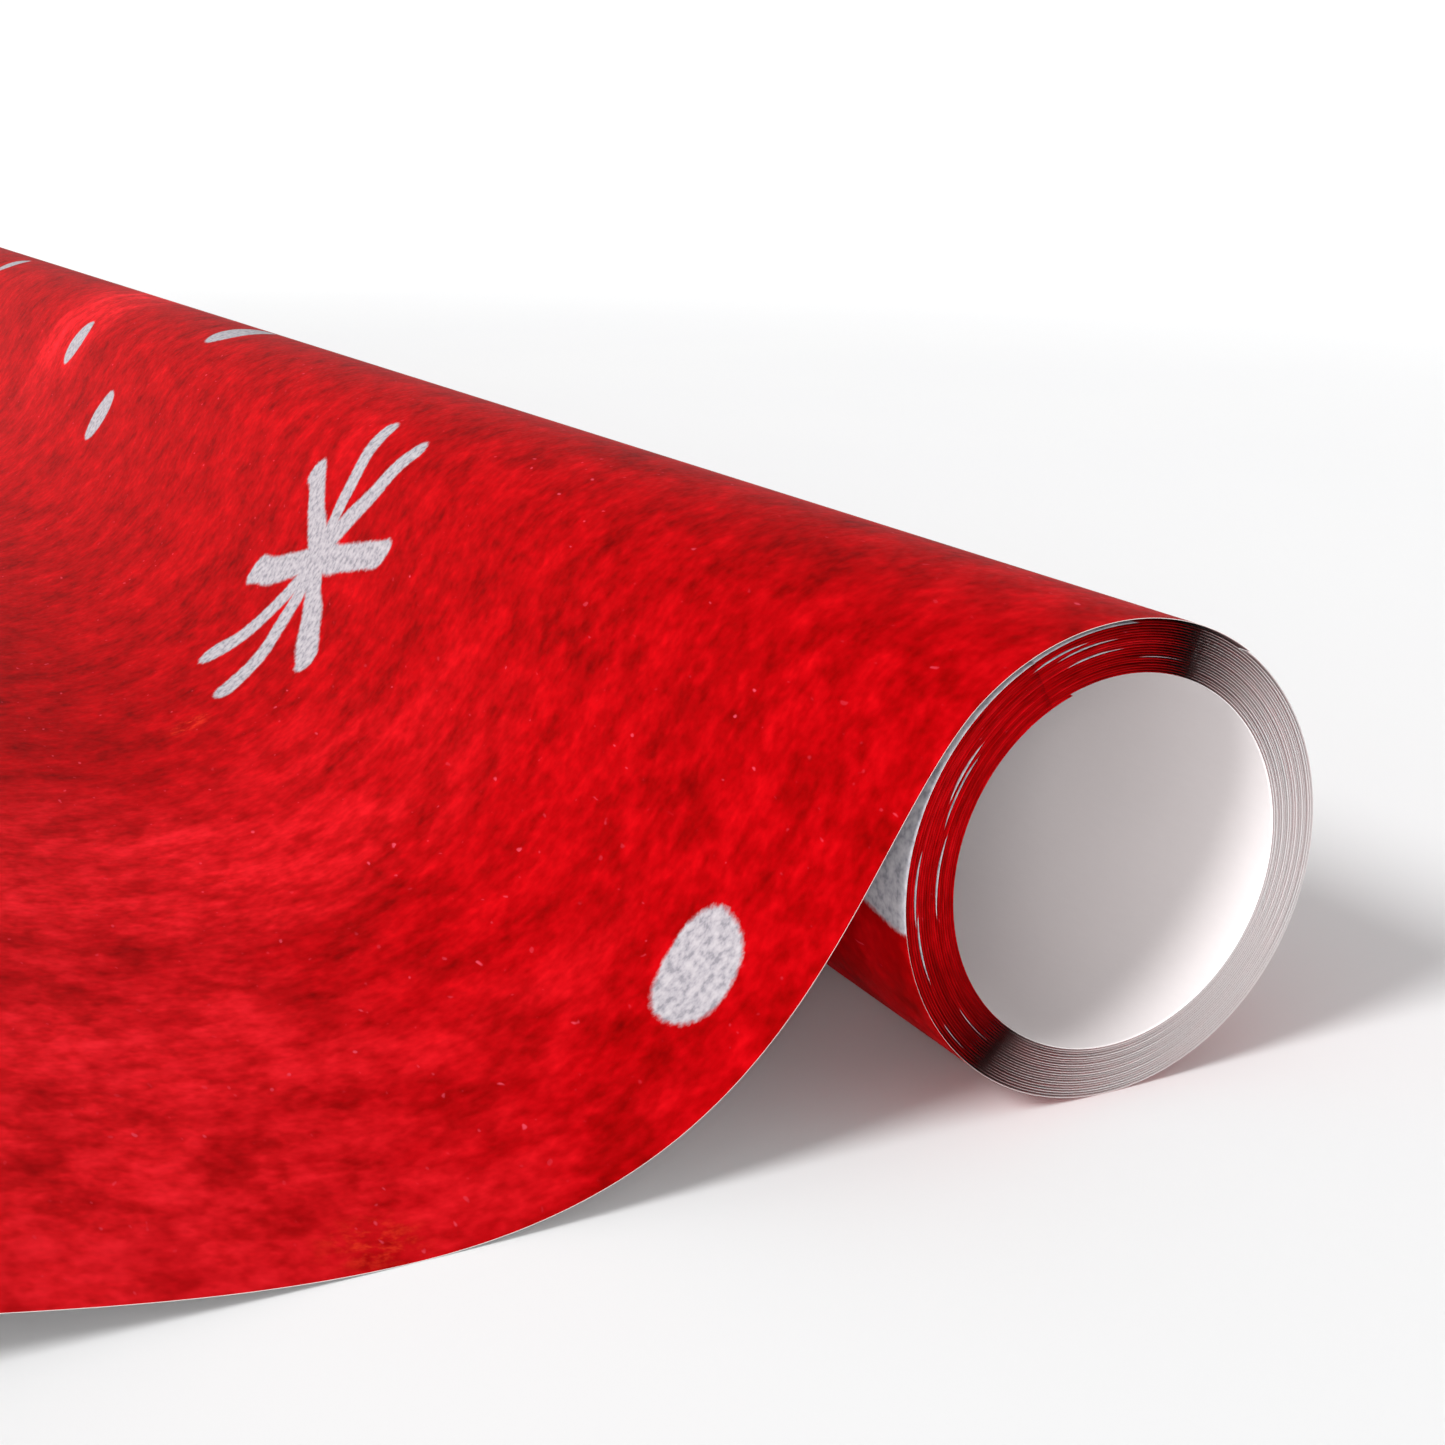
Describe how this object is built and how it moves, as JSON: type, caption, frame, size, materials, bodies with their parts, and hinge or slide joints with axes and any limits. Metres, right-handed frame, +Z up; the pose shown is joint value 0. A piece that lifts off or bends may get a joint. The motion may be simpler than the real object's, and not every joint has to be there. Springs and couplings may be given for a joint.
{
  "type": "wrapping paper roll",
  "caption": "Coreless roll of gift wrapping paper, partly unrolled: a long coil whose printed sheet runs over its top and down to the table, ending in a free flap.",
  "frame": {"origin": "middle of the part's bounding box in X and Y, at the table surface it lies on", "axes": "+Y along the coil's axis from its near end to its far end, +Z up, the free sheet runs out towards -X"},
  "size_m": [0.4904, 0.762, 0.0442],
  "materials": {
    "printed_paper": "matte printed paper",
    "paper_back": "matte uncoated paper"
  },
  "bodies": {
    "free_sheet": {"sheet_crest": "printed_paper", "sheet_wave": "printed_paper"},
    "coil": {"wrap_01": "printed_paper", "wrap_02": "paper_back", "wrap_03": "paper_back", "wrap_04": "paper_back", "wrap_05": "paper_back", "wrap_06": "paper_back", "wrap_07": "paper_back", "wrap_08": "paper_back", "wrap_09": "paper_back", "wrap_10": "paper_back", "wrap_11": "paper_back", "wrap_12": "paper_back", "wrap_13": "paper_back", "wrap_14": "paper_back", "wrap_15": "paper_back", "wrap_16": "paper_back", "wrap_17": "paper_back", "wrap_18": "paper_back", "wrap_19": "paper_back", "wrap_20": "paper_back", "wrap_21": "paper_back"},
    "lead": {"sheet_lead": "printed_paper"},
    "flap": {"sheet_flap": "printed_paper"}
  },
  "joints": [
    {"name": "coil_turn", "type": "hinge", "parent": "free_sheet", "child": "coil", "pos_m": [0.2233, 0, 0.02184], "axis": [0, -1, 0], "range_deg": [0, 270]},
    {"name": "sheet_pull", "type": "slide", "parent": "free_sheet", "child": "lead", "axis": [-1, 0, 0], "range_m": [0, 0.104]},
    {"name": "flap_lift", "type": "hinge", "parent": "lead", "child": "flap", "pos_m": [-0.10635, 0, 0.00006], "axis": [0, 1, 0], "range_deg": [0, 90]}
  ],
  "couplings": [
    {"joint": "sheet_pull", "follows": "coil_turn", "m_per_rad": 0.022}
  ]
}
